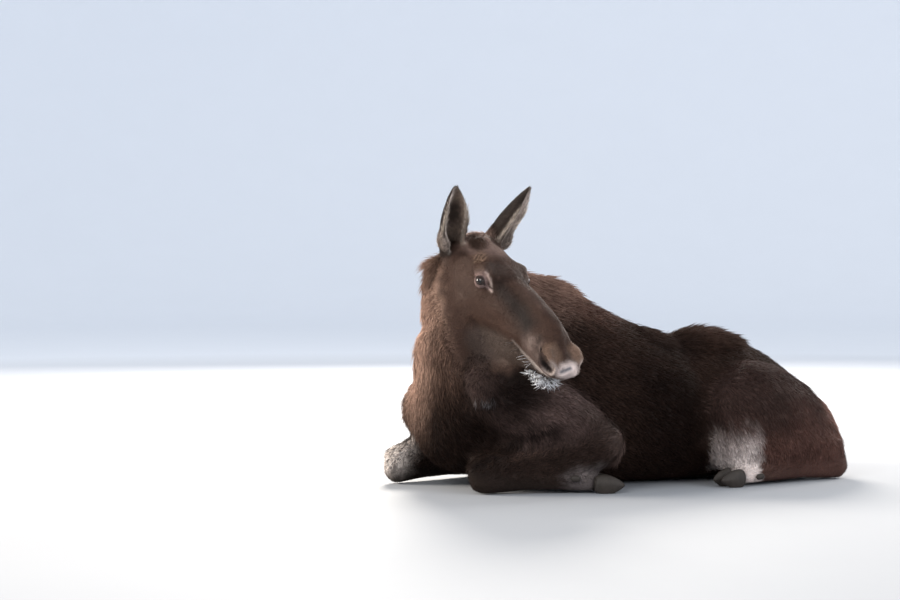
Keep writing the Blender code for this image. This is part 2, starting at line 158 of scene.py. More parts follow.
def smoothed(values, edges, rounds, strength=0.5):
    # values of any width, each moved towards the mean of its neighbours
    count = len(values)
    flat = values.reshape(count, -1).copy()
    share = np.bincount(edges.ravel(), minlength=count).clip(1)
    strength = np.asarray(strength, float).reshape(-1, 1) if np.ndim(strength) else strength
    for _ in range(rounds):
        total = np.stack([np.bincount(edges[:, 0], column[edges[:, 1]], count)
                          + np.bincount(edges[:, 1], column[edges[:, 0]], count) for column in flat.T], 1)
        flat += (total / share[:, None] - flat) * strength
    return flat.reshape(values.shape)


def nearestNodes(points):
    # the flesh node nearest to each point
    corners, faces, owner = [], [], []
    for index, name in enumerate(fleshNodes):
        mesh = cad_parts[name].data
        first = len(corners)
        corners += [vertex.co.copy() for vertex in mesh.vertices]
        for face in mesh.polygons:
            faces.append([first + corner for corner in face.vertices])
            owner.append(index)
    tree = BVHTree.FromPolygons(corners, faces)
    return np.array([owner[tree.find_nearest(Vector(point))[2]] for point in points])


def meshOf(bm, name):
    mesh = bpy.data.meshes.new(name)
    bm.to_mesh(mesh)
    bm.free()
    return mesh


def newPiece(name, mesh):
    piece = bpy.data.objects.new(name, mesh)
    bpy.context.scene.collection.objects.link(piece)
    return piece


def applied(piece):
    # the piece's mesh as its modifiers leave it
    tree = bpy.context.evaluated_depsgraph_get()
    mesh = bpy.data.meshes.new_from_object(piece.evaluated_get(tree))
    piece.modifiers.clear()
    old = piece.data
    piece.data = mesh
    bpy.data.meshes.remove(old)
    return piece


def nearCurve(points, curve):
    # distance to a line through points, and how far along it the nearest place is, from 0 to 1
    curve = np.array(curve, float)
    steps = np.linalg.norm(np.diff(curve, axis=0), axis=1)
    places = np.concatenate([[0], np.cumsum(steps)]) / steps.sum()
    best = np.full(len(points), 1e9)
    along = np.zeros(len(points))
    for index, step in enumerate(np.diff(curve, axis=0)):
        share = ((points - curve[index]) @ step / (step @ step)).clip(0, 1)
        gap = np.linalg.norm(points - curve[index] - share[:, None] * step, axis=1)
        closer = gap < best
        best[closer] = gap[closer]
        along[closer] = (places[index] + share * (places[index + 1] - places[index]))[closer]
    return best, along


def ramp(values, low, high):
    share = ((values - low) / (high - low)).clip(0, 1)
    return share * share * (3 - 2 * share)


# Skin: the solids of flesh made one body

skinPlan = {
    "voxel": 0.004, "swell": 0.0007, "rounds": 44,
    "triangles": 150000,
    "headShare": 0.3,                       # how much the head is thinned, against 1 for the body
}


def joinedFlesh():
    bm = bmesh.new()
    for name in fleshNodes + ["eye_left", "eye_right"]:
        part = bmesh.new()
        part.from_mesh(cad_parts[name].data)
        bmesh.ops.remove_doubles(part, verts=part.verts, dist=0.00001)
        part.normal_update()
        for vertex in part.verts:
            vertex.co += vertex.normal * skinPlan["swell"]
        mesh = meshOf(part, "part")
        bm.from_mesh(mesh)
        bpy.data.meshes.remove(mesh)
    piece = newPiece("skin", meshOf(bm, "skin"))
    remesh = piece.modifiers.new("one body", "REMESH")
    remesh.mode = "VOXEL"
    remesh.voxel_size = skinPlan["voxel"] * 1
    return applied(piece)


def outerBody(piece):
    # drops what the remesh leaves inside the body
    bm = bmesh.new()
    bm.from_mesh(piece.data)
    seen, islands = set(), []
    for start in bm.verts:
        if start in seen:
            continue
        seen.add(start)
        stack, island = [start], [start]
        while stack:
            for edge in stack.pop().link_edges:
                for vertex in edge.verts:
                    if vertex not in seen:
                        seen.add(vertex)
                        stack.append(vertex)
                        island.append(vertex)
        islands.append(island)
    islands.sort(key=len)
    for island in islands[:-1]:
        bmesh.ops.delete(bm, geom=island, context="VERTS")
    bm.to_mesh(piece.data)
    bm.free()
    return piece


def makeSkin():
    piece = outerBody(joinedFlesh())
    mesh = piece.data
    points, edges = meshPoints(mesh), meshEdges(mesh)
    nodes = nearestNodes(points)
    soft = smoothed(coatColumn(coatSoft)[nodes], edges, 12)
    depth = smoothed(coatColumn(coatDepth)[nodes], edges, 24)
    points = smoothed(points, edges, skinPlan["rounds"] // (1), soft)
    setPoints(mesh, points)
    points = points - meshNormals(mesh) * depth[:, None]
    points[:, 2] = points[:, 2].clip(cadBounds[0][2] + 0.001, None)
    setPoints(mesh, smoothed(points, edges, 2, 0.3))
    group = piece.vertex_groups.new(name="body")
    weights = np.where(soft < 0.25, skinPlan["headShare"], 1.0)
    for level in np.unique(weights):
        group.add(np.flatnonzero(weights == level).tolist(), float(level), "REPLACE")
    thin = piece.modifiers.new("thin", "DECIMATE")
    thin.ratio = (skinPlan["triangles"] / 1) / (2 * len(mesh.polygons))
    thin.use_collapse_triangulate = True
    thin.vertex_group = "body"
    applied(piece)
    piece.vertex_groups.clear()
    return piece


skin = makeSkin()
print("skin", len(skin.data.polygons), "faces")


# Face: lids, nostrils, mouth and the forms of the muzzle, worked into the skin. Places are in the
# head's axes for her right side, and are mirrored for the left; sizes are in metres.

face = {
    "eyeRadius": 0.0213,
    "look": (0.44, -0.86, 0.24),            # the way an eye faces
    "openingWide": 58, "openingHigh": 39,   # half angles of the gap between the lids, degrees
    "lid": 0.003,
    "nostril": ((0.566, -0.072, -0.022), (0.577, -0.072, -0.038), (0.594, -0.068, -0.056),
                (0.612, -0.058, -0.068)),
    "nostrilWide": (0.0045, 0.011), "nostrilDepth": 0.02,
    "mouth": ((0.398, -0.054, -0.086), (0.45, -0.052, -0.094), (0.5, -0.05, -0.1), (0.55, -0.046, -0.105),
              (0.59, -0.034, -0.11), (0.607, -0.014, -0.112), (0.609, 0.0, -0.112)),
    "mouthDepth": 0.008,
}
faceForms = {
    # place, radius and height of each swelling, or of a hollow where it is negative
    "brow": ((0.205, -0.066, 0.086), 0.034, 0.011),
    "temple": ((0.12, -0.092, 0.05), 0.042, -0.005),
    "cheekbone": ((0.3, -0.08, -0.01), 0.036, 0.005),
    "cheek": ((0.15, -0.095, -0.11), 0.07, 0.006),
    "bridge hollow": ((0.4, -0.062, 0.02), 0.05, -0.005),
    "lip pad": ((0.505, -0.066, -0.04), 0.026, 0.0055),
    "fold before the pad": ((0.545, -0.072, -0.048), 0.015, -0.005),
    "nose wing": ((0.596, -0.058, -0.022), 0.026, 0.0035),
    "top of the nose": ((0.608, -0.026, 0.004), 0.036, -0.016),
    "top of the wing": ((0.622, -0.045, -0.014), 0.028, -0.01),
    "under the wing": ((0.58, -0.062, -0.078), 0.022, 0.004),
    "chin": ((0.55, -0.012, -0.145), 0.03, 0.008),
    "ear root": ((0.03, -0.14, 0.084), 0.034, 0.015),
}
bodyForms = {
    # the same on the body; "sides" is given on her left and is on both
    "hock": ("sides", (0.715, -0.235, 0.16), 0.05, 0.01),
    "seat": ("sides", (0.74, -0.2, 0.19), 0.07, 0.016),
    "far shoulder": ("body", (-0.735, 0.2, 0.2), 0.075, 0.012),
    "top of the haunch": ("sides", (0.43, -0.12, 0.43), 0.08, 0.014),
    "withers": ("body", (-0.335, -0.01, 0.71), 0.11, -0.03),
    "mane": ("body", (-0.7, 0.12, 0.765), 0.045, 0.018),
}
creases = (
    # places, on both sides, where the skin runs smoothly over the joints of the folded leg
    ((0.7, -0.24, 0.15), (0.17, 0.15, 0.14)),
    ((0.5, -0.31, 0.14), (0.24, 0.09, 0.09)),
)
ears = {
    # in the head's axes: root, the way the ear points and the way it opens
    "ear_left": ((0.004, 0.083, 0.064), (0.25, 0.19, 0.95), (0.81, 0.49, -0.31)),
    "ear_right": ((0.004, -0.079, 0.062), (0.22, -0.32, 0.92), (0.97, 0.02, -0.22)),
}
earLong, earWide = 0.262, 0.043       # metres


def earPlaces(points, name):
    # how far up the ear, across it from -1 at its inner edge to 1 at its outer one, out towards its
    # opening, and those last two ways
    root, way, opening = (Vector(value) for value in ears[name])
    way, opening = headWay(way), headWay(opening)
    opening = (opening - way * opening.dot(way)).normalized()
    across = way.cross(opening) * (1 if name == "ear_left" else -1)
    offset = points - np.array(head @ root)
    way, across, opening = np.array(way), np.array(across), np.array(opening)
    return offset @ way / earLong, offset @ across / earWide, offset @ opening / earWide, across, opening


def onRight(places):
    # the head's places, those of its left side brought to its right
    return np.stack([places[:, 0], -np.abs(places[:, 1]), places[:, 2]], 1)


def folded(points):
    # the body's places brought to her left side
    middle = boxMiddle("trunk").y
    return np.stack([points[:, 0], middle - np.abs(points[:, 1] - middle), points[:, 2]], 1)


def marked(places, place, size, soft=(0.45, 1.0)):
    reach = np.linalg.norm((places - np.array(place)) / np.array(size), axis=1)
    return 1 - ramp(reach, *soft)


def nostrilPlaces(places):
    # distance from the nostril's line, how far along it, and its half width there
    gap, along = nearCurve(places, face["nostril"])
    least, most = face["nostrilWide"]
    return gap, along, least + most * ramp(along, 0, 0.6)


def refine(mesh, reach, longest):
    # splits the edges longer than longest with both ends within reach of an eye, nostril or mouth
    places = onRight(toHead(meshPoints(mesh)))
    gap = np.minimum(nearCurve(places, face["mouth"])[0], nearCurve(places, face["nostril"])[0])
    eye = np.linalg.norm(places - (headPose["eyesAhead"], -0.085, headPose["eyesUp"]), axis=1)
    close = np.minimum(gap, eye - 0.012) < reach
    bm = bmesh.new()
    bm.from_mesh(mesh)
    edges = [edge for edge in bm.edges
             if all(close[vertex.index] for vertex in edge.verts) and edge.calc_length() > longest]
    bmesh.ops.subdivide_edges(bm, edges=edges, cuts=1, use_grid_fill=True)
    bmesh.ops.triangulate(bm, faces=[face for face in bm.faces if len(face.verts) > 3])
    bm.to_mesh(mesh)
    bm.free()


def eyeAxes(side):
    # the eye's middle, and its axes out of the head, forwards and up
    middle = boxMiddle("eye_right" if side < 0 else "eye_left")
    look = Vector(face["look"])
    look.y *= -side
    out = headWay(look)
    ahead = headWay((1, 0, -0.22))
    ahead = (ahead - out * ahead.dot(out)).normalized()
    up = ahead.cross(out) * (1 if side < 0 else -1)
    if up.dot(headWay((0, 0, 1))) < 0:
        up = -up
    return [np.array(axis) for axis in (middle, out, ahead, up)]


def eyeGap(points, side):
    # 0 in the middle of the gap between the lids and 1 at their edge, and the distance from the eye
    middle, out, ahead, up = eyeAxes(side)
    offset = points - middle
    distance = np.linalg.norm(offset, axis=1)
    across = np.degrees(np.arctan2(offset @ ahead, offset @ out))
    high = np.degrees(np.arctan2(offset @ up, offset @ out))
    gap = np.hypot(across / face["openingWide"], high / face["openingHigh"])
    gap[(offset @ out) < 0] = 9
    return gap, distance, across, high


def shapeLids(points):
    radius, lid = face["eyeRadius"], face["lid"]
    for side in (-1, 1):
        gap, distance, across, high = eyeGap(points, side)
        middle = eyeAxes(side)[0]
        target = np.interp(gap, (0, 0.84, 1.02, 1.3, 1.52, 1.85, 2.6),
                           radius + np.array((-0.0045, -0.0045, lid, lid, 0.4 * lid, 1.2 * lid, 1.2 * lid)))
        keep = ramp(gap, 1.45, 2.3)
        wanted = target * (1 - keep) + np.maximum(distance, target) * keep
        close = (gap < 2.6) & (distance < 0.05)
        scale = np.where(close, wanted / distance.clip(1e-6), 1)
        points = middle + (points - middle) * scale[:, None]
    return points


def shapeFace(mesh):
    for reach, longest in (((0.03, 0.0042), (0.02, 0.0026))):
        refine(mesh, reach, longest)
    points, normals = meshPoints(mesh), meshNormals(mesh)
    places = toHead(points)
    for place, radius, height in faceForms.values():
        for middle in (np.array(place), np.array(place) * (1, -1, 1)):
            reach = np.linalg.norm(places - middle, axis=1) * headPose["size"] / radius
            points = points + normals * (height * np.exp(-reach ** 2))[:, None]
    for space, place, radius, height in bodyForms.values():
        offset = (folded(points) if space == "sides" else points) - np.array(place)
        reach = np.linalg.norm(offset, axis=1) / radius
        points = points + normals * (height * np.exp(-reach ** 2))[:, None]
    eased = smoothed(points, meshEdges(mesh), 30)
    for place, size in creases:
        points = points + (eased - points) * marked(folded(points), place, size)[:, None]
    places = onRight(places)
    gap, along, wide = nostrilPlaces(places)
    hollow = face["nostrilDepth"] * (0.35 + 0.65 * ramp(along, 0, 0.5)) * np.exp(-(gap / wide) ** 4)
    rim = 0.004 * np.exp(-((gap - 1.45 * wide) / 0.005) ** 2)
    points = points + normals * (rim - hollow)[:, None]
    gap, along = nearCurve(places, face["mouth"])
    groove = face["mouthDepth"] * (0.5 + 0.8 * ramp(along, 0.1, 0.6)) * np.exp(-(gap / 0.0042) ** 2)
    lip = 0.0028 * np.exp(-((gap - 0.01) / 0.0045) ** 2) * ramp(along, 0, 0.3)
    setPoints(mesh, shapeLids(points + normals * (lip - groove)[:, None]))


shapeFace(skin.data)
print("face", len(skin.data.polygons), "faces")


# Markings, painted light and shade, and lie of the coat: the same fields colour the skin and every tuft

marks = {
    # space, place, size, colour, strength. Some are the coat's own colour and some are painted light and
    # shade.
    # Marks in the head's space are on both sides of it, and those of "sides", given on her left, on both
    # sides of the body.
    "hump": ("body", (-0.3, 0.0, 0.7), (0.4, 0.22, 0.16), (0.06, 0.035, 0.027), 0.8),
    # withers: paler hair, with a painted glow of light from behind on it
    "withers": ("body", (-0.33, -0.02, 0.7), (0.3, 0.22, 0.18), (0.17, 0.105, 0.082), 0.9),
    # painted rim light along the top of the hump
    "painted rim light on the crest": ("body", (-0.12, -0.03, 0.6), (0.2, 0.1, 0.06), (0.072, 0.038, 0.029), 0.9),
    "hip ridge": ("body", (0.3, 0.0, 0.52), (0.24, 0.1, 0.035), (0.055, 0.03, 0.023), 0.4),
    "loin": ("body", (0.12, -0.05, 0.47), (0.14, 0.16, 0.1), (0.014, 0.0085, 0.007), 0.8),
    "flank": ("sides", (0.03, -0.2, 0.24), (0.2, 0.2, 0.3), (0.0095, 0.0052, 0.004), 0.95),
    "rump": ("body", (0.79, 0.0, 0.2), (0.2, 0.42, 0.24), (0.29, 0.145, 0.112), 0.85),
    "haunch side": ("sides", (0.6, -0.28, 0.12), (0.26, 0.14, 0.22), (0.092, 0.046, 0.037), 0.8),
    "breast": ("body", (-0.66, -0.06, 0.19), (0.2, 0.3, 0.2), (0.012, 0.007, 0.0055), 0.95),
    # painted shade on the chest behind the bell
    "painted shade behind the bell": ("body", (-0.55, -0.23, 0.335), (0.14, 0.11, 0.12), (0.0075, 0.0045, 0.0036), 0.95),
    "far shoulder": ("body", (-0.73, 0.21, 0.22), (0.11, 0.12, 0.16), (0.026, 0.0155, 0.012), 0.95),
    # painted light on the side of the throat and neck
    "painted light on the throat side": ("body", (-0.73, 0.16, 0.48), (0.16, 0.19, 0.34), (0.44, 0.28, 0.21), 0.9),
    "far knee": ("body", (-0.79, 0.24, 0.11), (0.11, 0.13, 0.11), (0.7, 0.62, 0.57), 0.97),
    "elbow": ("body", (-0.19, -0.3, 0.15), (0.08, 0.09, 0.09), (0.105, 0.07, 0.06), 0.85),
    "far elbow": ("body", (-0.26, 0.36, 0.14), (0.08, 0.09, 0.09), (0.105, 0.07, 0.06), 0.85),
    # painted light on the top of the forehead, as from behind
    "painted light on the forehead": ("head", (0.06, 0.0, 0.11), (0.15, 0.12, 0.055), (0.215, 0.145, 0.122), 0.8),
    "poll": ("head", (0.085, -0.04, 0.118), (0.058, 0.046, 0.032), (0.034, 0.02, 0.014), 0.9),
    "above the eye": ("head", (0.195, -0.085, 0.072), (0.034, 0.026, 0.022), (0.09, 0.058, 0.045), 0.7),
    "brow": ("head", (0.225, -0.045, 0.088), (0.05, 0.06, 0.024), (0.06, 0.041, 0.034), 0.8),
    "bridge": ("head", (0.42, 0.0, 0.075), (0.17, 0.055, 0.032), (0.07, 0.045, 0.037), 0.7),
    "muzzle": ("head", (0.52, -0.06, -0.05), (0.1, 0.06, 0.06), (0.095, 0.067, 0.058), 0.8),
    "jaw": ("head", (0.3, -0.06, -0.15), (0.16, 0.06, 0.07), (0.066, 0.048, 0.041), 0.7),
    "lip pad": ("head", (0.505, -0.068, -0.034), (0.02, 0.028, 0.032), (0.125, 0.092, 0.08), 0.85),
    "nose wing": ("head", (0.605, -0.05, -0.02), (0.054, 0.046, 0.05), (0.165, 0.105, 0.076), 0.85),
    "nose top": ("head", (0.612, -0.018, 0.01), (0.04, 0.03, 0.034), (0.068, 0.042, 0.032), 0.8),
    "nose tip": ("head", (0.655, 0.005, -0.066), (0.052, 0.072, 0.048), (0.7, 0.585, 0.55), 0.9),
    # painted shade under the lip
    "painted shade under the lip": ("head", (0.535, -0.02, -0.126), (0.08, 0.05, 0.016), (0.01, 0.007, 0.006), 0.95),
}
strokes = {
    # lines of colour, some of them painted shadow: space, places, half width, colour, strength
    "before the eye": ("head", ((0.285, -0.068, 0.056), (0.345, -0.06, 0.034), (0.4, -0.054, 0.02),
                                (0.45, -0.056, 0.006)), 0.036, (0.011, 0.0072, 0.0065), 0.92),
    # painted shade in the fold beside the lip pad
    "painted shade in the fold by the pad": ("head", ((0.53, -0.066, 0.006), (0.536, -0.064, -0.015), (0.548, -0.07, -0.045)),
                        0.008, (0.026, 0.017, 0.014), 0.85),
    "far nostril": ("nose", ((0.654, -0.001, -0.047), (0.654, -0.016, -0.057), (0.65, -0.034, -0.065)),
                    0.006, (0.06, 0.072, 0.095), 0.9),
    "streak by the eye": ("face", ((0.234, -0.097, 0.08), (0.248, -0.093, 0.064), (0.258, -0.087, 0.046),
                                   (0.264, -0.081, 0.028)), 0.0034, (0.5, 0.39, 0.35), 0.9),
    # painted shadow above the forearm, under the arm
    "painted shadow under the arm": ("body", ((-0.468, -0.28, 0.215), (-0.515, -0.249, 0.195), (-0.561, -0.205, 0.168),
                               (-0.616, -0.185, 0.143), (-0.665, -0.17, 0.115)),
                      0.026, (0.005, 0.003, 0.0025), 0.9),
    # painted shadow beside the bell
    "painted shadow beside the bell": ("body", ((-0.672, -0.1, 0.43), (-0.689, -0.128, 0.345), (-0.69, -0.14, 0.29)),
                        0.018, (0.014, 0.009, 0.007), 0.8),
    "rim of the arm": ("body", ((-0.335, -0.294, 0.3), (-0.262, -0.322, 0.235), (-0.222, -0.34, 0.16)),
                       0.03, (0.06, 0.042, 0.036), 0.6),
}
spots = {
    # place and size of what is painted, or has its hair, in its own way
    "brow curls": ((0.141, -0.058, 0.09), (0.038, 0.034, 0.03)),
    "speckled knee": ((-0.8, 0.245, 0.11), (0.12, 0.14, 0.12)),
    "ear bulb": ((0.026, -0.142, 0.086), (0.046, 0.044, 0.052)),
    "poll": ((0.01, 0.0, 0.12), (0.07, 0.08, 0.06)),
    "poll tuft": ((0.09, -0.04, 0.118), (0.045, 0.04, 0.03)),
    "root of the ear": ((0.0, -0.14, 0.07), (0.06, 0.06, 0.06)),
    "chin": ((0.555, -0.01, -0.142), (0.085, 0.058, 0.03)),
}
longer = {
    # place, size and share by which the hair is longer there
    "hump": ((-0.3, 0.0, 0.72), (0.34, 0.14, 0.12), 0.55),
    "loin": ((0.06, 0.0, 0.5), (0.09, 0.12, 0.06), 1.0),
    "hip": ((0.3, 0.0, 0.5), (0.2, 0.14, 0.07), 0.7),
    "elbow": ((-0.17, -0.28, 0.12), (0.07, 0.08, 0.08), 0.5),
    "far elbow": ((-0.25, 0.34, 0.12), (0.07, 0.08, 0.08), 0.5),
    "mane": ((-0.7, 0.12, 0.75), (0.07, 0.07, 0.07), 0.3),
}
thighPatch = {
    # grey-white, sharp at its rear edge, slanting at its front one, and fading upwards in streaks
    "rear": 0.22,                           # along the shank's box
    "slant": 0.486, "front": (0.285, 0.31), "side": (0.17, 0.21), "fade": (0.06, 0.235),
    "colour": (0.76, 0.66, 0.62),
}
coatColours = {
    "curl": (0.21, 0.135, 0.095), "between curls": (0.03, 0.019, 0.014), "specks": (0.045, 0.034, 0.03),
    "foot": (0.135, 0.112, 0.108), "bulb": (0.05, 0.036, 0.03), "bulb hair": (0.44, 0.36, 0.31),
    "frost": (0.5, 0.49, 0.5),
}
faceColours = {
    # the lid edge is a dark rim with painted shadow of the lashes
    "lid": (0.27, 0.185, 0.17), "lid edge and lash shade": (0.022, 0.015, 0.014), "nostril rim": (0.42, 0.35, 0.32),
    # the mouth's colour is painted shade in the gap between the lips
    "nostril": (0.008, 0.005, 0.0045), "upper lip": (0.5, 0.44, 0.41), "mouth": (0.01, 0.007, 0.007),
}
earColours = {
    "outside": (0.024, 0.0165, 0.0135), "hollow": (0.034, 0.024, 0.02), "tuft": (0.04, 0.028, 0.023),
    # the outer lining is pale hair, painted paler still as painted light
    "outer lining and painted light": (0.85, 0.73, 0.66), "inner lining": (0.26, 0.195, 0.155), "shade": (0.06, 0.042, 0.033),
    "tip": (0.045, 0.033, 0.027), "edge": (0.46, 0.39, 0.33), "lobe": (0.42, 0.36, 0.31),
}


def noiseField(points, scale, seed):
    # smooth noise between -1 and 1, from a few sums of waves
    turns = np.random.default_rng(seed)
    total = np.zeros(len(points))
    for octave in range(5):
        ways = turns.normal(size=(5, 3))
        ways /= np.linalg.norm(ways, axis=1)[:, None]
        for way in ways:
            wave = points @ way * (2 * np.pi / scale) * (1.6 ** octave)
            total += np.sin(wave + turns.uniform(0, 7)) / (octave + 1.5)
    return np.tanh(total / 3.0)


def onSurface(points, curve):
    # the curve's places moved to the nearest of the points
    return [points[np.argmin(np.linalg.norm(points - np.array(place), axis=1))] for place in curve]


def mixed(colours, colour, weight):
    return colours + (np.array(colour) - colours) * weight[:, None]


def withAlpha(colours):
    return np.concatenate([colours, np.ones((len(colours), 1))], 1)


def paintPatch(points, paint):
    x, y, z = points.T
    streak = noiseField(points * (1, 1, 0.12), 0.016, 8)
    low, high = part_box("hind_shank_left")
    rear = low.x + thighPatch["rear"] * (high.x - low.x)
    middle = boxMiddle("trunk").y
    front = x + thighPatch["slant"] * (np.abs(y - middle) - middle) + 0.006 * streak
    patch = ramp(front, *thighPatch["front"]) * (1 - ramp(x + 0.004 * streak, rear, rear + 0.01))
    patch *= 1 - ramp(z + 0.03 * streak, *thighPatch["fade"])
    patch *= ramp(np.abs(y - middle), *thighPatch["side"])
    patch *= 0.5 + 0.5 * ramp(x + 0.01 * streak, rear - 0.17, rear - 0.04)
    paint(thighPatch["colour"], patch * 0.95)


def paintFace(points, mirrored, paint):
    # pink skin round the eyes and the dark edges of the lids, with painted shadow of the lashes above, then
    # nostrils and mouth, with painted shade in the mouth's gap. Gives how far each point is above the mouth's
    # line, from 0 to 1.
    for side in (-1, 1):
        gap, distance, across, upwards = eyeGap(points, side)
        close = distance < 0.045
        ring = (1 - ramp(gap, 1.45, 2.1)) * close * (1.0 if side < 0 else 0.3)
        paint(faceColours["lid"], ring * 0.85)
        # dark edges of the lids, with painted shadow of the lashes, wider and stronger along the upper lid
        edge = (1 - ramp(gap, 1.06, 1.24 + 0.16 * (upwards > 10))) * close
        paint(faceColours["lid edge and lash shade"], edge * np.where(upwards > -6, 0.95, 0.6))
    gap, along, wide = nostrilPlaces(mirrored)
    rim = np.exp(-((gap - wide - 0.006) / 0.005) ** 2) * ramp(along, 0.6, 1)
    paint(faceColours["nostril rim"], rim * 0.75)
    paint(faceColours["nostril"], 1 - ramp(gap, 0.85 * wide, 1.25 * wide))
    gap, along = nearCurve(mirrored, face["mouth"])
    heights = [place[2] for place in face["mouth"]]
    level = np.interp(along, np.linspace(0, 1, len(heights)), heights)
    upper = ramp(mirrored[:, 2] - level, -0.001, 0.004)
    pale = np.exp(-((gap - 0.0085) / 0.004) ** 2) * upper * (0.35 + 0.65 * ramp(along, 0.4, 0.75))
    paint(faceColours["upper lip"], pale * 0.85)
    # painted shade in the gap of the mouth, below the upper lip and along its line
    paint(faceColours["mouth"], (1 - ramp(gap, 0.004, 0.012)) * (1 - upper) * 0.9)
    paint(faceColours["mouth"], 1 - ramp(gap, 0.003, 0.0065))
    return upper


def paintEars(points, normals, owned, paint):
    # dark outside, pale edges, and a dark hollow between tan and pale hair, the pale hair painted paler still
    # as painted light. Gives the edges.
    rims = np.zeros(len(points))
    for name in ears:
        own = owned([name], 2)
        up, across, out, acrossWay, opening = earPlaces(points, name)
        inwards = (normals @ opening) * (0.35 - out) - (normals @ acrossWay) * across
        inwards = inwards + 0.25 * ramp(across, 0.4, 0.8)
        if name == "ear_left":
            inwards = inwards - 0.7 * (1 - ramp(across, -0.8, -0.1))
        inside = ramp(inwards, -0.05, 0.25) * ramp(up, -0.02, 0.1)
        paint(earColours["outside"], own * (1 - inside) * 0.95 * ramp(up, 0.12, 0.3))
        # pale lining, partly painted light, paler than its hair to stand in for the light on it
        outer = ramp(across, -0.2, 0.4)[:, None]
        lining = np.array(earColours["outer lining and painted light"]) * outer
        lining = lining + np.array(earColours["inner lining"]) * (1 - outer)
        paint(lining, own * inside * 0.95)
        hollow = 1 - ramp(out + 0.15 * noiseField(points, 0.03, 25), -0.45, 0.05)
        hollow *= 1 - ramp(np.abs(up - 0.5), 0.1, 0.3)
        paint(earColours["hollow"], own * inside * hollow * 0.85)
        tuft = (1 - ramp(out, -0.35, 0.1)) * (1 - ramp(np.abs(across - 0.35), 0.05, 0.35))
        paint(earColours["tuft"], own * inside * tuft * (1 - ramp(up, 0.3, 0.4)) * 0.8)
        shade = ramp(noiseField(points * (1, 1, 0.3), 0.01, 24), -0.1, 0.6) * own * inside
        paint(earColours["shade"], shade * 0.35)
        tip = ramp(up, 0.86, 0.96) * own
        paint(earColours["tip"], tip * np.where(inside > 0.5, 0.6, 1.0))
        edge = np.exp(-((out - 0.42) / 0.14) ** 2) * ramp(np.abs(across), 0.45, 0.75) * own
        edge = np.maximum(edge, 0.8 * np.exp(-((inwards - 0.1) / 0.1) ** 2) * own * ramp(out, -0.1, 0.3))
        edge *= (1 - ramp(up, 0.84, 0.95)) * ramp(up, 0.02, 0.12)
        paint(earColours["edge"], edge * 0.85)
        rims = np.maximum(rims, edge)
        lobe = marked(np.stack([up * 3, across, out], 1), (0.15, 0.1, 0.9), (0.36, 0.7, 0.8)) * own
        paint(earColours["lobe"], lobe * 0.8)
    return rims


def barePlaces(points, normals, mirrored):
    # the gap of the lids, nostrils, mouth line, and what lies on the floor, keep no hair
    bare = (points[:, 2] < 0.006) & (normals[:, 2] < -0.5)
    for side in (-1, 1):
        gap, distance, _, _ = eyeGap(points, side)
        bare |= (gap < 1.28) & (distance < 0.045)
    gap, _, wide = nostrilPlaces(mirrored)
    return (bare | (gap < 1.15 * wide) | (nearCurve(mirrored, face["mouth"])[0] < 0.0055)).astype(float)


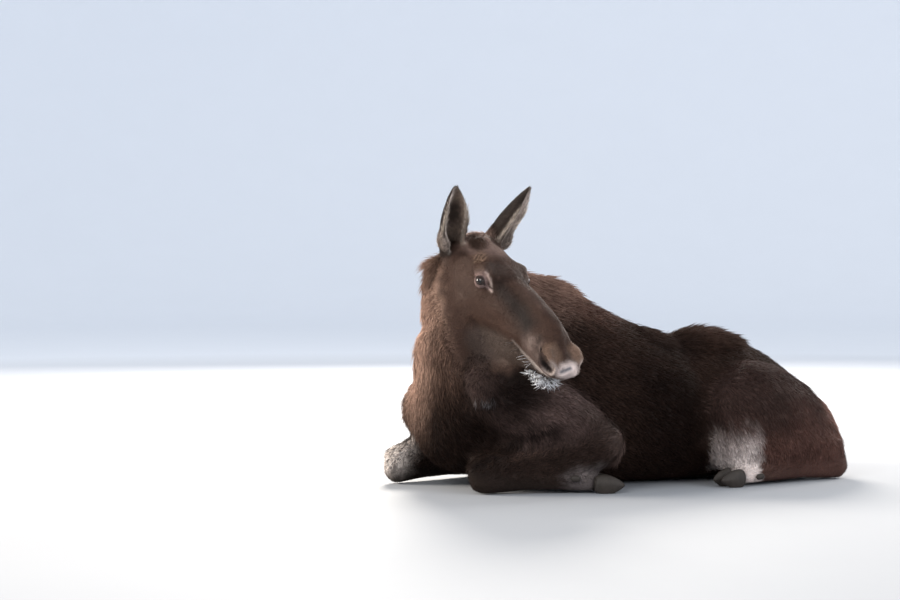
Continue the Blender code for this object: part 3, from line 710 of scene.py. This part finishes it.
def coatFields(mesh):
    points, normals, edges = meshPoints(mesh), meshNormals(mesh), meshEdges(mesh)
    places = toHead(points)
    mirrored = onRight(places)
    nodes = nearestNodes(points)
    ways = []
    for name, (x, y, z) in zip(fleshNodes, coatColumn(coatLie)):
        side = 1 if name.endswith("right") else -1
        if name in ears:
            y = ears[name][1][1]
        onHead = name.startswith(headCoats)
        ways.append(headWay((x, y, z)) if onHead else Vector((x, y * side, z)).normalized())
    lie = smoothed(np.array(ways)[nodes], edges, 40)
    colours = smoothed(coatColumn(coatColour)[nodes], edges, 30)
    length = smoothed(coatColumn(coatLength)[nodes], edges, 30)

    def owned(names, rounds):
        # 1 where one of the nodes is nearest, and less near its edge
        return smoothed(np.array([name in names for name in fleshNodes])[nodes].astype(float), edges, rounds)

    def paint(colour, weight):
        colours[:] = mixed(colours, colour, weight)

    ragged = points + 0.018 * np.stack([noiseField(points, 0.05, seed) for seed in (1, 2, 3)], 1)
    raggedHead = mirrored + 0.004 * np.stack([noiseField(points, 0.03, seed) for seed in (1, 2, 3)], 1)
    spaces = {"body": points, "head": mirrored, "face": mirrored, "nose": places}
    raggedSpaces = {**spaces, "body": ragged, "sides": folded(ragged), "head": raggedHead}
    for space, place, size, colour, strength in marks.values():
        soft = (0.45, 1.0) if space == "head" else (0.3, 1.1)
        paint(colour, marked(raggedSpaces[space], place, size, soft) * strength)
    for space, curve, wide, colour, strength in strokes.values():
        gap = nearCurve(raggedSpaces[space], onSurface(spaces[space], curve))[0]
        paint(colour, np.exp(-(gap / wide) ** 2) * strength)
    curls = marked(raggedHead, *spots["brow curls"])
    curl = ramp(noiseField(points, 0.013, 31), -0.35, 0.35)
    paint(coatColours["curl"], curls * curl * 0.75)
    paint(coatColours["between curls"], curls * (1 - curl) * 0.6)
    knee = marked(points, *spots["speckled knee"]) * ramp(noiseField(points, 0.009, 33), 0.1, 0.6)
    paint(coatColours["specks"], knee * 0.75)
    for name in sorted(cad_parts):
        if "toe" in name:
            foot = marked(ragged, boxMiddle(name) + Vector((-0.05, 0, 0.01)), (0.13, 0.09, 0.08))
            paint(coatColours["foot"], foot * 0.85)
    paintPatch(points, paint)
    upper = paintFace(points, mirrored, paint)
    rims = paintEars(points, normals, owned, paint)
    bulb = marked(raggedHead, *spots["ear bulb"])
    dots = ramp(noiseField(points, 0.008, 22), -0.4, 0.4)
    paint(coatColours["bulb"], bulb * 0.9)
    paint(coatColours["bulb hair"], bulb * (0.15 + 0.85 * dots) * 0.9)
    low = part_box("bell")[0].z
    frost = owned(["bell"], 4) * (1 - ramp(points[:, 2], low + 0.012, low + 0.045))
    frost *= ramp(noiseField(points, 0.005, 35), 0.3, 0.6)
    paint(coatColours["frost"], frost * 0.8)
    tone = 1 + 0.16 * noiseField(points, 0.16, 5) + 0.1 * noiseField(points, 0.035, 9)
    colours = (colours * tone[:, None]).clip(0.004, 0.9)

    length = length * (1 + 0.16 * noiseField(points, 0.05, 11))
    long = np.zeros(len(points))
    for place, size, gain in longer.values():
        weight = marked(points, place, size)
        length = length * (1 + gain * weight)
        long = np.maximum(long, weight)
    for name, gain in (("poll", 0.018), ("poll tuft", 0.008)):
        weight = marked(mirrored, *spots[name])
        length = length + gain * weight
        long = np.maximum(long, weight)
    length = length + 0.01 * rims + 0.01 * marked(mirrored, *spots["root of the ear"])
    long = np.maximum(np.maximum(long, 0.6 * rims), owned(["bell"], 6) * 0.5)
    fine = np.maximum(owned(["head", "lower_jaw"], 10), owned(ears, 4))
    fine = np.maximum(fine, (length < 0.018).astype(float))

    chin = marked(mirrored, *spots["chin"]) * ramp(-normals[:, 2], -0.3, 0.2)
    gap, along = nearCurve(mirrored, face["mouth"])
    fringe = 0.1 * (1 - ramp(gap, 0.008, 0.016)) * (1 - upper) * (gap > 0.006) * (1 - ramp(along, 0.5, 0.9))
    chin = np.maximum(chin, fringe)
    hanging = normals * (1, 1, 0) * 0.7 + (0, 0, -1)
    lie = lie + (hanging - lie) * ramp(chin, 0.05, 0.3)[:, None]
    hairy = 1 - barePlaces(points, normals, mirrored)
    return {"lie": lie, "hairLength": length, "coatColour": withAlpha(colours),
            "fineHair": ramp(fine, 0.3, 0.7) * hairy, "bodyHair": (1 - ramp(fine, 0.45, 0.9)) * hairy,
            "longHair": long * hairy, "chinHair": chin * hairy}


def storeFields(mesh, fields):
    kinds = {1: ("FLOAT", "value"), 3: ("FLOAT_VECTOR", "vector"), 4: ("FLOAT_COLOR", "color")}
    for name, values in fields.items():
        kind, key = kinds[values.size // len(values)]
        attribute = mesh.attributes.new(name, kind, "POINT")
        attribute.data.foreach_set(key, values.astype(np.float32).ravel())


storeFields(skin.data, coatFields(skin.data))
print("markings")


# Unwrap of the skin's own shape, on which each tuft has its own small patch

def unwrap(piece):
    piece.data.uv_layers.new(name="OFBake")
    bpy.context.view_layer.objects.active = piece
    bpy.ops.object.select_all(action="DESELECT")
    piece.select_set(True)
    bpy.ops.object.mode_set(mode="EDIT")
    bpy.ops.mesh.select_all(action="SELECT")
    bpy.ops.uv.smart_project(angle_limit=math.radians(70), island_margin=0.001)
    bpy.ops.object.mode_set(mode="OBJECT")


unwrap(skin)
print("unwrap")


# Small helpers for node trees

def addNode(tree, kind, sockets, **settings):
    # a node whose sockets, by name or number, take a value or another node's output
    node = tree.nodes.new(kind)
    for name, value in settings.items():
        setattr(node, name, value)
    for name, value in sockets.items():
        socket = node.inputs[name]
        if isinstance(value, bpy.types.NodeSocket):
            tree.links.new(value, socket)
        else:
            socket.default_value = value
    return node


def result(tree, kind, sockets, **settings):
    return addNode(tree, kind, sockets, **settings).outputs[0]


def maths(tree, operation, *values):
    return result(tree, "ShaderNodeMath", dict(enumerate(values)), operation=operation)


def vectors(tree, operation, *values):
    return result(tree, "ShaderNodeVectorMath", dict(enumerate(values)), operation=operation)


def scaled(tree, value, factor):
    return result(tree, "ShaderNodeVectorMath", {0: value, "Scale": factor}, operation="SCALE")


def combined(tree, *values):
    return result(tree, "ShaderNodeCombineXYZ", dict(enumerate(values)))


def twoColours(tree, first, second, share):
    sockets = {"Factor": share, 6: (*first, 1), 7: (*second, 1)}
    return addNode(tree, "ShaderNodeMix", sockets, data_type="RGBA").outputs[2]


# Coat: one tree lays tufts over the skin, and each piece of the coat is a run of it

tuftShapes = (
    # sideways bend, rise and droop, in lengths of the tuft
    {"curl": 0.0, "rise": 0.42, "droop": 0.2},
    {"curl": 0.1, "rise": 0.36, "droop": 0.14},
    {"curl": -0.1, "rise": 0.46, "droop": 0.26},
    {"curl": 0.05, "rise": 0.3, "droop": 0.12},
    {"curl": -0.06, "rise": 0.5, "droop": 0.22},
)
coatPieces = {
    # where it grows, thousands of tufts, length in hair lengths, width in metres, lift, wander,
    # segments and seed
    "coat_under": ("bodyHair", 19.4, 0.75, 0.0055, 0.55, 0.16, 2, 3),
    "coat_guard": ("bodyHair", 19.4, 1.0, 0.0036, 0.75, 0.16, 2, 11),
    "coat_guard_second": ("bodyHair", 19.4, 0.95, 0.003, 0.8, 0.18, 2, 17),
    "coat_guard_third": ("bodyHair", 19.4, 1.05, 0.0024, 0.85, 0.2, 2, 19),
    "coat_fine": ("bodyHair", 48.5, 0.85, 0.0015, 0.75, 0.24, 1, 23),
    "coat_face": ("fineHair", 48.5, 0.85, 0.0016, 0.55, 0.2, 1, 31),
    "coat_face_second": ("fineHair", 48.5, 1.0, 0.001, 0.8, 0.28, 1, 37),
    "chin_bristles": ("chinHair", 1.0, 2.2, 0.0011, 3.6, 0.5, 2, 43),
    "coat_long": ("longHair", 14.0, 1.2, 0.0022, 1.0, 0.26, 2, 41),
}
patchSize = 0.003       # of a tuft on the map of the whole coat


def stored(tree, geometry, name, value, kind, domain="POINT"):
    sockets = {"Geometry": geometry, "Name": name, "Value": value}
    return result(tree, "GeometryNodeStoreNamedAttribute", sockets, data_type=kind, domain=domain)


def tuftShape(tree, segments, shape):
    # lies along X from its root, X long, Y wide, Z away from the skin
    sizes = {"Vertices": 3, "Side Segments": segments, "Radius Top": 0.0, "Radius Bottom": 0.5, "Depth": 1.0}
    cone = result(tree, "GeometryNodeMeshCone", sizes, fill_type="NGON")
    place = result(tree, "GeometryNodeInputPosition", {})
    up, side, along = addNode(tree, "ShaderNodeSeparateXYZ", {0: place}).outputs
    swell = maths(tree, "MULTIPLY_ADD", along, 2.0, 0.8)
    square = maths(tree, "MULTIPLY", along, along)
    fall = maths(tree, "MULTIPLY", square, -shape["droop"])
    across = maths(tree, "MULTIPLY", side, maths(tree, "MULTIPLY", swell, -1.15))
    across = maths(tree, "ADD", across, maths(tree, "MULTIPLY", square, 16 * shape["curl"]))
    thick = maths(tree, "MULTIPLY", maths(tree, "MULTIPLY", up, swell), 0.035)
    high = maths(tree, "ADD", thick, maths(tree, "MULTIPLY_ADD", along, shape["rise"], fall))
    flat = combined(tree, along, maths(tree, "ADD", side, 0.5), 0.0)
    bent = combined(tree, along, across, high)
    tuft = stored(tree, cone, "along", along, "FLOAT")
    tuft = stored(tree, tuft, "tuftMap", flat, "FLOAT_VECTOR")
    tuft = result(tree, "GeometryNodeSetPosition", {"Geometry": tuft, "Position": bent})
    return result(tree, "GeometryNodeGeometryToInstance", {0: tuft})


def coatTree():
    tree = bpy.data.node_groups.new("tufts", "GeometryNodeTree")
    face = tree.interface
    face.new_socket("Geometry", in_out="INPUT", socket_type="NodeSocketGeometry")
    face.new_socket("Geometry", in_out="OUTPUT", socket_type="NodeSocketGeometry")
    for name, kind in (("Where", "String"), ("Density", "Float"), ("Length", "Float"), ("Width", "Float"),
                       ("Lift", "Float"), ("Wander", "Float"), ("Segments", "Int"), ("Seed", "Int"),
                       ("Material", "Material")):
        face.new_socket(name, in_out="INPUT", socket_type="NodeSocket" + kind)
    given = tree.nodes.new("NodeGroupInput").outputs

    def attribute(name, kind="FLOAT"):
        return result(tree, "GeometryNodeInputNamedAttribute", {"Name": name}, data_type=kind)

    def chance(low, high, step, kind="FLOAT"):
        node = addNode(tree, "FunctionNodeRandomValue", {}, data_type=kind)
        first = 0 if kind == "FLOAT_VECTOR" else 4 if kind == "INT" else 2
        node.inputs[first].default_value, node.inputs[first + 1].default_value = low, high
        tree.links.new(maths(tree, "ADD", given["Seed"], step), node.inputs["Seed"])
        return node.outputs[{"FLOAT_VECTOR": 0, "FLOAT": 1, "INT": 2}[kind]]

    spread = addNode(tree, "GeometryNodeDistributePointsOnFaces",
                     {"Mesh": given["Geometry"], "Seed": given["Seed"],
                      "Density": maths(tree, "MULTIPLY", attribute(given["Where"]), given["Density"])},
                     distribute_method="RANDOM")
    root = attribute("OFBake", "FLOAT_VECTOR")
    points = stored(tree, spread.outputs["Points"], "rootMap", root, "FLOAT_VECTOR")
    points = stored(tree, points, "tone", chance(0.0, 1.0, 1), "FLOAT")
    swirl = addNode(tree, "ShaderNodeTexNoise", {"Scale": 16.0, "Detail": 2.0}).outputs["Color"]
    swirl = scaled(tree, vectors(tree, "SUBTRACT", swirl, (0.5, 0.5, 0.5)), 0.8)
    stray = scaled(tree, chance((-1, -1, -1), (1, 1, 1), 2, "FLOAT_VECTOR"), given["Wander"])
    way = vectors(tree, "ADD", attribute("lie", "FLOAT_VECTOR"), vectors(tree, "ADD", swirl, stray))
    turn = result(tree, "FunctionNodeAxesToRotation",
                  {"Primary Axis": spread.outputs["Normal"], "Secondary Axis": way},
                  primary_axis="Z", secondary_axis="X")
    long = maths(tree, "MULTIPLY", maths(tree, "MULTIPLY", attribute("hairLength"), given["Length"]),
                 chance(0.65, 1.2, 3))
    wide = maths(tree, "MULTIPLY", given["Width"], chance(0.6, 1.25, 4))
    high = maths(tree, "MULTIPLY", long, maths(tree, "MULTIPLY", given["Lift"], chance(0.55, 1.25, 5)))
    size = combined(tree, long, wide, high)
    shapes = tree.nodes.new("GeometryNodeJoinGeometry")
    for shape in reversed(tuftShapes):
        tree.links.new(tuftShape(tree, given["Segments"], shape), shapes.inputs[0])
    laid = result(tree, "GeometryNodeInstanceOnPoints",
                  {"Points": points, "Instance": shapes.outputs[0], "Pick Instance": True, "Rotation": turn,
                   "Instance Index": chance(0, len(tuftShapes) - 1, 6, "INT"), "Scale": size})
    real = result(tree, "GeometryNodeRealizeInstances", {"Geometry": laid})
    place = vectors(tree, "MAXIMUM", result(tree, "GeometryNodeInputPosition", {}), (-9, -9, 0.001))
    real = result(tree, "GeometryNodeSetPosition", {"Geometry": real, "Position": place})
    patch = vectors(tree, "SUBTRACT", attribute("tuftMap", "FLOAT_VECTOR"), (0.5, 0.5, 0.0))
    patch = vectors(tree, "ADD", attribute("rootMap", "FLOAT_VECTOR"), scaled(tree, patch, patchSize))
    geometry = stored(tree, removed(tree, real, ("OFBake",)), "OFBake", patch, "FLOAT2", "CORNER")
    geometry = removed(tree, geometry, ("rootMap", "tuftMap", "lie", "hairLength",
                                        "bodyHair", "fineHair", "longHair", "chinHair"))
    geometry = result(tree, "GeometryNodeSetShadeSmooth", {"Geometry": geometry})
    geometry = result(tree, "GeometryNodeSetMaterial", {"Geometry": geometry, "Material": given["Material"]})
    tree.links.new(geometry, tree.nodes.new("NodeGroupOutput").inputs[0])
    return tree


def removed(tree, geometry, names):
    for name in names:
        geometry = result(tree, "GeometryNodeRemoveAttribute", {"Geometry": geometry, "Name": name})
    return geometry


def weightedArea(mesh, name):
    # area of the skin, counted by how thickly it is covered
    weights = readAll(mesh.attributes[name].data, "value", kind=np.float32)
    corners = readAll(mesh.loops, "vertex_index", kind=np.int64)
    areas = readAll(mesh.polygons, "area")
    return float((areas * weights[corners.reshape(-1, 3)].mean(1)).sum())


def layCoat(tree, skin, name, plan, material):
    piece = newPiece(name, skin.data.copy())
    run = piece.modifiers.new("tufts", "NODES")
    run.node_group = tree
    where, tufts, length, width, lift, wander, segments, seed = plan
    tufts *= 1000
    values = {"Where": where, "Density": tufts / weightedArea(skin.data, where), "Length": length,
              "Width": width * 1, "Lift": lift, "Wander": wander,
              "Segments": segments, "Seed": seed, "Material": material}
    for item in tree.interface.items_tree:
        if item.in_out == "INPUT" and item.name in values:
            run[item.identifier] = values[item.name]
    return applied(piece)


# Materials

def newMaterial(name, **sockets):
    material = bpy.data.materials.new(name)
    material.use_nodes = True
    tree = material.node_tree
    shader = tree.nodes["Principled BSDF"]
    for label, value in sockets.items():
        shader.inputs[label.replace("_", " ")].default_value = value
    return material, tree, shader


def attributeOf(tree, name, output="Fac"):
    return addNode(tree, "ShaderNodeAttribute", {}, attribute_name=name).outputs[output]


def placeOf(tree):
    return tree.nodes.new("ShaderNodeTexCoord").outputs["Object"]


def noiseOf(tree, scale, detail):
    sockets = {"Vector": placeOf(tree), "Scale": scale, "Detail": detail}
    return addNode(tree, "ShaderNodeTexNoise", sockets).outputs["Fac"]


def coatMaterial(name, root, tip, grain, **sockets):
    # colour of the skin below, darker at the root, lighter at the tip, a little unlike its neighbours
    material, tree, shader = newMaterial(name, **sockets)
    shade = maths(tree, "MULTIPLY_ADD", attributeOf(tree, "along"), tip - root, root)
    tone = maths(tree, "MULTIPLY_ADD", attributeOf(tree, "tone"), 0.5, 0.75)
    drift = maths(tree, "MULTIPLY_ADD", noiseOf(tree, grain, 3), 0.8, 0.6)
    shade = maths(tree, "MULTIPLY", maths(tree, "MULTIPLY", shade, tone), drift)
    colour = scaled(tree, attributeOf(tree, "coatColour", "Color"), shade)
    tree.links.new(colour, shader.inputs["Base Color"])
    return material


def bristleMaterial():
    # stiff pale hairs of the chin, some of them dark
    material, tree, shader = newMaterial("bristle", Roughness=0.4)
    light = maths(tree, "GREATER_THAN", attributeOf(tree, "tone"), 0.42)
    pale = twoColours(tree, (0.05, 0.04, 0.035), (0.74, 0.75, 0.79), light)
    shade = maths(tree, "MULTIPLY_ADD", noiseOf(tree, 300, 2), 0.6, 0.7)
    tree.links.new(scaled(tree, pale, shade), shader.inputs["Base Color"])
    return material


def hideMaterial():
    material, tree, shader = newMaterial("hide", Roughness=0.6, Specular_IOR_Level=0.08)
    grain = maths(tree, "MULTIPLY_ADD", noiseOf(tree, 420, 3), 0.7, 0.62)
    tree.links.new(scaled(tree, attributeOf(tree, "coatColour", "Color"), grain), shader.inputs["Base Color"])
    sockets = {"Strength": 0.5, "Distance": 0.0012, "Height": noiseOf(tree, 520, 4)}
    tree.links.new(result(tree, "ShaderNodeBump", sockets), shader.inputs["Normal"])
    return material


# Stage: a pale floor that curves up into a wall all round, and soft light

stage = {
    "flat": 13.0, "rise": 4.6,              # radius of the flat floor and of the curve round it
    "colour": (0.29, 0.302, 0.323),
    # painted light: floor and wall are painted paler away from the middle to make up for the lamps' light
    # falling off
    "far": (4.0, 8.5, 2.85),                # the floor grows paler from one radius to the other, by this much
    "sky": (0.88, 0.93, 1.0), "skyLight": 0.85,
    "fromEyes": (-3.6626, -7.1355, 0.1881),  # camera, from the point between the eyes
    "azimuth": -25.927, "elevation": 1.789,
    "lens": 96.9, "sensor": 36,
}
lamps = {
    # place, size, power, colour
    "key": ((-5.5, -3.5, 3.6), 3.5, 260, (1.0, 0.97, 0.93)),
    "rim": ((1.6, 5.0, 3.4), 2.2, 620, (1.0, 0.93, 0.84)),
    "side": ((-4.6, 2.6, 2.0), 2.0, 420, (1.0, 0.9, 0.78)),
    "fill": ((3.0, -6.0, 2.6), 4.0, 200, (0.95, 0.97, 1.0)),
    "back": ((5.5, 1.5, 2.6), 2.5, 360, (1.0, 0.95, 0.9)),
}


def floorMaterial():
    material, tree, shader = newMaterial("floor", Roughness=0.75)
    tone = maths(tree, "MULTIPLY_ADD", noiseOf(tree, 3, 2), 0.02, 0.99)
    radius = addNode(tree, "ShaderNodeVectorMath", {0: placeOf(tree)}, operation="LENGTH").outputs["Value"]
    # painted light, paler with distance from the middle
    near, far, most = stage["far"]
    sockets = {"Value": radius, "From Min": near, "From Max": far, "To Min": 1.0, "To Max": most}
    high = result(tree, "ShaderNodeMapRange", sockets)
    colour = scaled(tree, stage["colour"], maths(tree, "MULTIPLY", tone, high))
    tree.links.new(colour, shader.inputs["Base Color"])
    return material


def makeFloor():
    # a profile from the middle out and up, turned once round
    flat, rise = stage["flat"], stage["rise"]
    profile = [(0.0, 0.0), (flat * 0.5, 0.0), (flat, 0.0)]
    profile += [(flat + rise * math.sin(angle), rise - rise * math.cos(angle))
                for angle in np.linspace(0, math.pi / 2, 13)[1:]]
    bm = bmesh.new()
    corners = [bm.verts.new((radius, 0, height)) for radius, height in profile]
    edges = [bm.edges.new(pair) for pair in zip(corners, corners[1:])]
    bmesh.ops.spin(bm, geom=corners + edges, axis=(0, 0, 1), cent=(0, 0, 0), angle=2 * math.pi, steps=72)
    bmesh.ops.remove_doubles(bm, verts=bm.verts, dist=0.0001)
    bmesh.ops.recalc_face_normals(bm, faces=bm.faces)
    bm.normal_update()
    if max(bm.faces, key=lambda face: -face.calc_center_median().length).normal.z < 0:
        bmesh.ops.reverse_faces(bm, faces=bm.faces)
    mesh = meshOf(bm, "floor")
    floor = newPiece("floor", mesh)
    mesh.shade_smooth()
    mesh.materials.append(floorMaterial())


def makeLight():
    world = bpy.data.worlds.new("sky")
    bpy.context.scene.world = world
    world.use_nodes = True
    world.node_tree.nodes["Background"].inputs["Color"].default_value = (*stage["sky"], 1)
    world.node_tree.nodes["Background"].inputs["Strength"].default_value = stage["skyLight"]
    aim = Vector((0, 0, 0.4))
    for name, (place, size, power, colour) in lamps.items():
        lamp = bpy.data.lights.new(name, "AREA")
        lamp.shape = "DISK"
        lamp.size, lamp.energy, lamp.color = size, power, colour
        holder = newPiece(name, lamp)
        holder.location = place
        holder.rotation_euler = (aim - Vector(place)).to_track_quat("-Z", "Y").to_euler()


def makeCamera():
    camera = bpy.data.cameras.new("camera")
    camera.sensor_width, camera.lens = stage["sensor"], stage["lens"]
    holder = newPiece("camera", camera)
    holder.location = betweenEyes + Vector(stage["fromEyes"])
    azimuth, elevation = math.radians(stage["azimuth"]), math.radians(stage["elevation"])
    level = math.cos(elevation)
    back = Vector((math.sin(azimuth) * level, -math.cos(azimuth) * level, math.sin(elevation)))
    holder.rotation_euler = (-back).to_track_quat("-Z", "Y").to_euler()
    bpy.context.scene.camera = holder


bpy.context.scene.view_settings.view_transform = "Standard"
makeFloor()
makeLight()
makeCamera()
print("stage")


# Eyes: a dark ball with a flat pupil, wet and clear on top

eyeForm = {
    "bulge": 0.0012,                        # of the clear front, in metres
    "iris": 0.62, "pupil": (0.4, 0.2),      # in radii of the eye, along the gap and across it
    "white": (0.03, 0.021, 0.018), "brown": (0.018, 0.01, 0.007), "black": (0.003, 0.003, 0.004),
}


def makeEye(name, side, material):
    middle, out, ahead, up = eyeAxes(side)
    bm = bmesh.new()
    bmesh.ops.create_uvsphere(bm, u_segments=48, v_segments=32, radius=1.0)
    mesh = meshOf(bm, name)
    ball = meshPoints(mesh)
    along, across, front = ball[:, 0], ball[:, 1], ball[:, 2]
    radius = face["eyeRadius"] - 0.0005 + eyeForm["bulge"] * ramp(front, 0.7, 0.95)
    ways = along[:, None] * ahead + across[:, None] * up + front[:, None] * out
    setPoints(mesh, middle + radius[:, None] * ways)
    if mesh.polygons[0].normal.dot(Vector(mesh.polygons[0].center) - Vector(middle)) < 0:
        mesh.flip_normals()
    reach = np.hypot(along, across) + (front < 0)
    colours = np.tile(np.array(eyeForm["white"], float), (len(ball), 1))
    colours = mixed(colours, eyeForm["brown"], 1 - ramp(reach, eyeForm["iris"], eyeForm["iris"] + 0.1))
    pupil = np.hypot(along / eyeForm["pupil"][0], across / eyeForm["pupil"][1]) + 9 * (front < 0)
    colours = mixed(colours, eyeForm["black"], 1 - ramp(pupil, 0.8, 1.15))
    storeFields(mesh, {"eyeColour": withAlpha(colours)})
    mesh.shade_smooth()
    mesh.materials.append(material)
    piece = newPiece(name + "_ball", mesh)
    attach(piece, "root")
    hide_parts(name)


def eyeMaterial():
    material, tree, shader = newMaterial("eye", Roughness=0.18, Specular_IOR_Level=0.2, Coat_Weight=0.45,
                                         Coat_Roughness=0.03)
    grain = maths(tree, "MULTIPLY_ADD", noiseOf(tree, 900, 3), 0.9, 0.55)
    tree.links.new(scaled(tree, attributeOf(tree, "eyeColour", "Color"), grain), shader.inputs["Base Color"])
    return material


# Hooves: each toe's solid rounded off, in ringed horn

def makeHoof(name, material):
    bm = bmesh.new()
    bm.from_mesh(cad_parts[name].data)
    bmesh.ops.remove_doubles(bm, verts=bm.verts, dist=0.00005)
    bmesh.ops.dissolve_limit(bm, angle_limit=math.radians(2), verts=bm.verts, edges=bm.edges)
    crease = bm.edges.layers.float.new("crease_edge")
    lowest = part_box(name)[0][2]
    for edge in bm.edges:
        if max(vertex.co.z for vertex in edge.verts) < lowest + 0.003:
            edge[crease] = 0.75
    piece = newPiece("hoof_" + name, meshOf(bm, name))
    soft = piece.modifiers.new("rounded", "SUBSURF")
    soft.levels = soft.render_levels = 3
    applied(piece)
    piece.data.shade_smooth()
    piece.data.materials.clear()
    piece.data.materials.append(material)
    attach(piece, "root")
    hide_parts(name)


def hornMaterial():
    # growth rings across the toe, worn paler towards the tip
    material, tree, shader = newMaterial("horn", Roughness=0.55, Specular_IOR_Level=0.2)
    sockets = {"Vector": placeOf(tree), "Scale": 95.0, "Distortion": 2.5, "Detail": 2.0}
    rings = addNode(tree, "ShaderNodeTexWave", sockets, bands_direction="X").outputs["Fac"]
    wear = maths(tree, "MULTIPLY", rings, noiseOf(tree, 60, 4))
    colour = twoColours(tree, (0.018, 0.015, 0.013), (0.075, 0.06, 0.05), wear)
    tree.links.new(colour, shader.inputs["Base Color"])
    bump = result(tree, "ShaderNodeBump", {"Strength": 0.35, "Distance": 0.0008, "Height": rings})
    tree.links.new(bump, shader.inputs["Normal"])
    return material


eyeGloss, horn = eyeMaterial(), hornMaterial()
makeEye("eye_left", 1, eyeGloss)
makeEye("eye_right", -1, eyeGloss)
for name in sorted(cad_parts):
    if "toe" in name or "dewclaw" in name:
        makeHoof(name, horn)
print("eyes and hooves")


# Coat pieces are laid over the skin, and the skin takes its material

coatSheen = {"Roughness": 0.58, "Specular_IOR_Level": 0.03}
bodyFur = coatMaterial("body fur", 0.55, 1.46, 38, **coatSheen)
faceFur = coatMaterial("face fur", 0.52, 1.6, 150, **{**coatSheen, "Specular_IOR_Level": 0.08})
bristle = bristleMaterial()
tufts = coatTree()
for name, plan in coatPieces.items():
    fine = plan[0] in ("fineHair", "chinHair")
    fur = bristle if plan[0] == "chinHair" else faceFur if fine else bodyFur
    piece = layCoat(tufts, skin, name, plan, fur)
    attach(piece, "root")
    print(name, len(piece.data.polygons), "faces")

skin.data.materials.clear()
skin.data.materials.append(hideMaterial())
skin.data.shade_smooth()
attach(skin, "root")
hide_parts(*fleshNodes)
